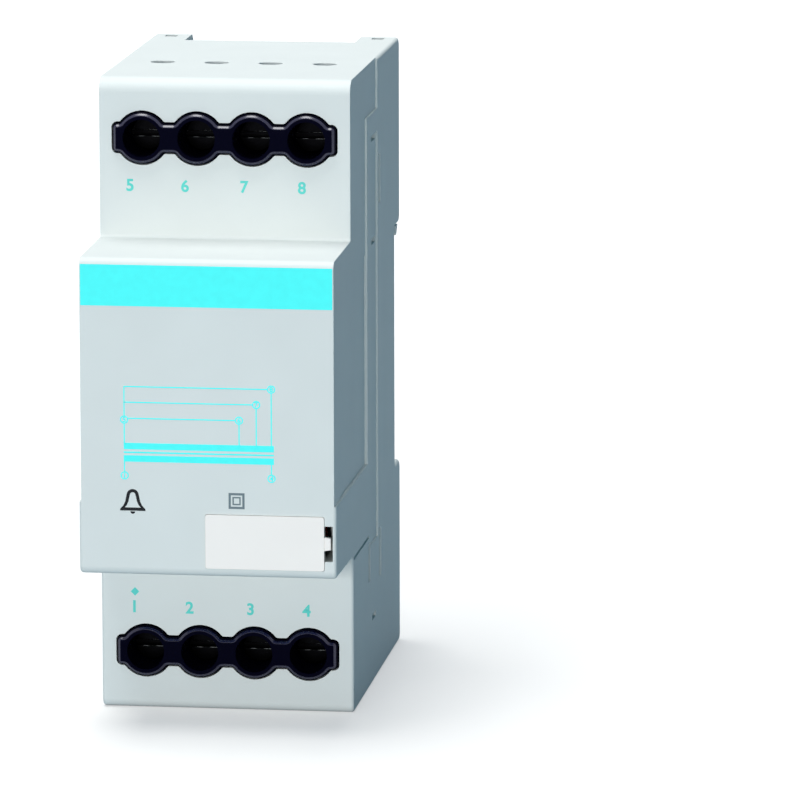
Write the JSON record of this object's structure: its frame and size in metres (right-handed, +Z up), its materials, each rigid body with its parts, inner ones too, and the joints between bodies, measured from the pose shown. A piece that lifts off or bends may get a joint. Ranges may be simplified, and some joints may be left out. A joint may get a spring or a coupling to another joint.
{
  "type": "bell transformer",
  "caption": "Rail-mounted bell transformer: stepped grey housing with a raised nose, scalloped black screw-terminal rows at both ends and a sprung rail latch behind.",
  "frame": {"origin": "middle of the flat face that seats on the front of the 35 mm mounting rail", "axes": "+Z up along the housing's height, -Y out of the front, +Y into the rail, +X to the right seen from the front"},
  "size_m": [0.036, 0.0672, 0.09],
  "materials": {
    "housing_plastic": "moulded, fine matt",
    "label_plastic": "moulded, satin white",
    "terminal_plastic": "moulded, glossy black",
    "plated_screw": "zinc plated",
    "plated_cage": "zinc plated",
    "contact_brass": "stamped",
    "core_steel": "stacked laminations, varnished",
    "bobbin_plastic": "moulded",
    "copper_wire": "enamelled wire, wound",
    "winding_tape": "polyester tape",
    "lead_insulation": "extruded insulation",
    "fuse_can": "drawn can",
    "latch_plastic": "moulded",
    "spring_steel": "drawn wire"
  },
  "bodies": {
    "housing": {"base_housing": "housing_plastic", "front_cover": "housing_plastic", "label_plate": "label_plastic", "upper_terminal_block": "terminal_plastic", "lower_terminal_block": "terminal_plastic", "core_e_stack": "core_steel", "core_i_stack": "core_steel", "coil_bobbin": "bobbin_plastic", "primary_winding": "copper_wire", "secondary_winding": "copper_wire", "primary_tape": "winding_tape", "secondary_tape": "winding_tape", "secondary_leads": "lead_insulation", "primary_leads": "lead_insulation", "thermal_fuse": "fuse_can", "latch_spring": "spring_steel", "contact_1": "contact_brass", "contact_2": "contact_brass", "contact_3": "contact_brass", "contact_4": "contact_brass", "contact_5": "contact_brass", "contact_6": "contact_brass", "contact_7": "contact_brass", "contact_8": "contact_brass"},
    "screw_1": {"terminal_screw_1": "plated_screw"},
    "cage_1": {"clamp_cage_1": "plated_cage"},
    "screw_2": {"terminal_screw_2": "plated_screw"},
    "cage_2": {"clamp_cage_2": "plated_cage"},
    "screw_3": {"terminal_screw_3": "plated_screw"},
    "cage_3": {"clamp_cage_3": "plated_cage"},
    "screw_4": {"terminal_screw_4": "plated_screw"},
    "cage_4": {"clamp_cage_4": "plated_cage"},
    "screw_5": {"terminal_screw_5": "plated_screw"},
    "cage_5": {"clamp_cage_5": "plated_cage"},
    "screw_6": {"terminal_screw_6": "plated_screw"},
    "cage_6": {"clamp_cage_6": "plated_cage"},
    "screw_7": {"terminal_screw_7": "plated_screw"},
    "cage_7": {"clamp_cage_7": "plated_cage"},
    "screw_8": {"terminal_screw_8": "plated_screw"},
    "cage_8": {"clamp_cage_8": "plated_cage"},
    "latch": {"rail_latch": "latch_plastic"}
  },
  "joints": [
    {"name": "screw_1_turn", "type": "hinge", "parent": "housing", "child": "screw_1", "pos_m": [-0.01162, -0.0371, -0.0366], "axis": [0, 1, 0], "range_deg": [0, 2160]},
    {"name": "cage_1_rise", "type": "slide", "parent": "housing", "child": "cage_1", "axis": [0, -1, 0], "range_m": [0, 0.0036]},
    {"name": "screw_2_turn", "type": "hinge", "parent": "housing", "child": "screw_2", "pos_m": [-0.00387, -0.0371, -0.0366], "axis": [0, 1, 0], "range_deg": [0, 2160]},
    {"name": "cage_2_rise", "type": "slide", "parent": "housing", "child": "cage_2", "axis": [0, -1, 0], "range_m": [0, 0.0036]},
    {"name": "screw_3_turn", "type": "hinge", "parent": "housing", "child": "screw_3", "pos_m": [0.00387, -0.0371, -0.0366], "axis": [0, 1, 0], "range_deg": [0, 2160]},
    {"name": "cage_3_rise", "type": "slide", "parent": "housing", "child": "cage_3", "axis": [0, -1, 0], "range_m": [0, 0.0036]},
    {"name": "screw_4_turn", "type": "hinge", "parent": "housing", "child": "screw_4", "pos_m": [0.01162, -0.0371, -0.0366], "axis": [0, 1, 0], "range_deg": [0, 2160]},
    {"name": "cage_4_rise", "type": "slide", "parent": "housing", "child": "cage_4", "axis": [0, -1, 0], "range_m": [0, 0.0036]},
    {"name": "screw_5_turn", "type": "hinge", "parent": "housing", "child": "screw_5", "pos_m": [-0.01162, -0.0371, 0.0366], "axis": [0, 1, 0], "range_deg": [0, 2160]},
    {"name": "cage_5_rise", "type": "slide", "parent": "housing", "child": "cage_5", "axis": [0, -1, 0], "range_m": [0, 0.0036]},
    {"name": "screw_6_turn", "type": "hinge", "parent": "housing", "child": "screw_6", "pos_m": [-0.00387, -0.0371, 0.0366], "axis": [0, 1, 0], "range_deg": [0, 2160]},
    {"name": "cage_6_rise", "type": "slide", "parent": "housing", "child": "cage_6", "axis": [0, -1, 0], "range_m": [0, 0.0036]},
    {"name": "screw_7_turn", "type": "hinge", "parent": "housing", "child": "screw_7", "pos_m": [0.00387, -0.0371, 0.0366], "axis": [0, 1, 0], "range_deg": [0, 2160]},
    {"name": "cage_7_rise", "type": "slide", "parent": "housing", "child": "cage_7", "axis": [0, -1, 0], "range_m": [0, 0.0036]},
    {"name": "screw_8_turn", "type": "hinge", "parent": "housing", "child": "screw_8", "pos_m": [0.01162, -0.0371, 0.0366], "axis": [0, 1, 0], "range_deg": [0, 2160]},
    {"name": "cage_8_rise", "type": "slide", "parent": "housing", "child": "cage_8", "axis": [0, -1, 0], "range_m": [0, 0.0036]},
    {"name": "latch_slide", "type": "slide", "parent": "housing", "child": "latch", "axis": [0, 0, -1], "range_m": [0, 0.003], "stiffness_N_per_m": 800, "deforming": ["latch_spring"]}
  ],
  "couplings": [
    {"joint": "screw_1_turn", "follows": "cage_1_rise", "rad_per_m": 10472},
    {"joint": "screw_2_turn", "follows": "cage_2_rise", "rad_per_m": 10472},
    {"joint": "screw_3_turn", "follows": "cage_3_rise", "rad_per_m": 10472},
    {"joint": "screw_4_turn", "follows": "cage_4_rise", "rad_per_m": 10472},
    {"joint": "screw_5_turn", "follows": "cage_5_rise", "rad_per_m": 10472},
    {"joint": "screw_6_turn", "follows": "cage_6_rise", "rad_per_m": 10472},
    {"joint": "screw_7_turn", "follows": "cage_7_rise", "rad_per_m": 10472},
    {"joint": "screw_8_turn", "follows": "cage_8_rise", "rad_per_m": 10472}
  ]
}
